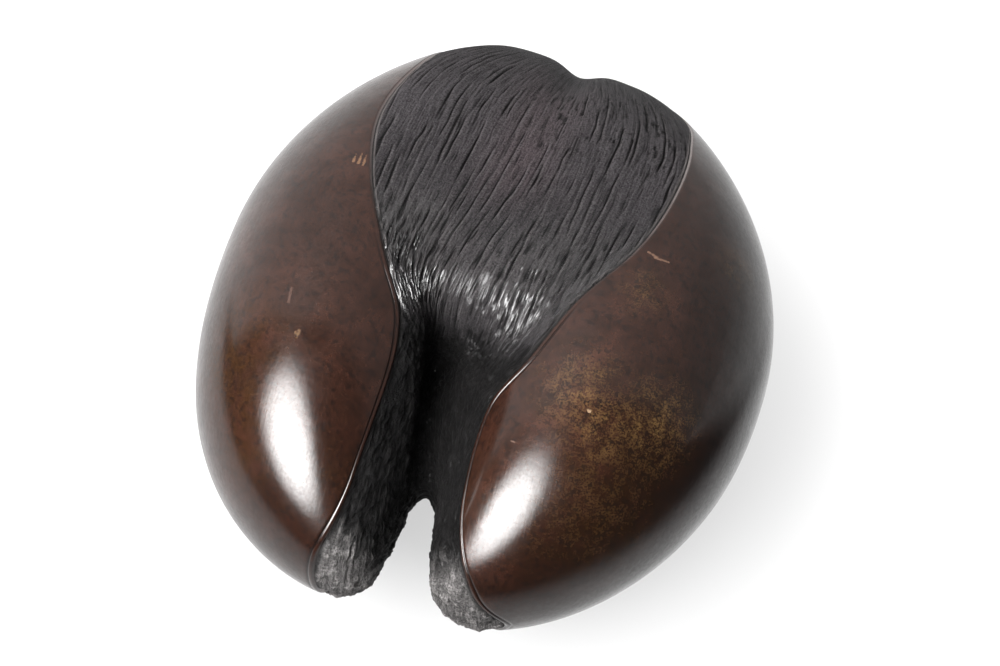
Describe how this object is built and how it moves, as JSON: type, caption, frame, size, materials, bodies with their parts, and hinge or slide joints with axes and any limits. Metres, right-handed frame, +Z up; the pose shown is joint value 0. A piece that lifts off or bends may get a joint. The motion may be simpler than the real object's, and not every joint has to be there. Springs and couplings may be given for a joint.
{
  "type": "coco de mer seed",
  "caption": "Polished double coconut lying on its back: a pair of long brown lobes, a dark fibrous heart where they join, and an open cleft between the tips.",
  "frame": {"origin": "on the ground, under the middle of the seed's bounding box", "axes": "+Z up, out of the front where the fibrous heart is; +Y towards the notched end, so the two tips point to -Y; +X across the lobes, to the right as seen from above with the tips towards the viewer"},
  "size_m": [0.2606, 0.2986, 0.1524],
  "materials": {
    "shell": "polished dark brown nut shell with a clear gloss, faint mottling and fine scratches"
  },
  "bodies": {
    "root": {"seed": "shell"}
  },
  "joints": []
}
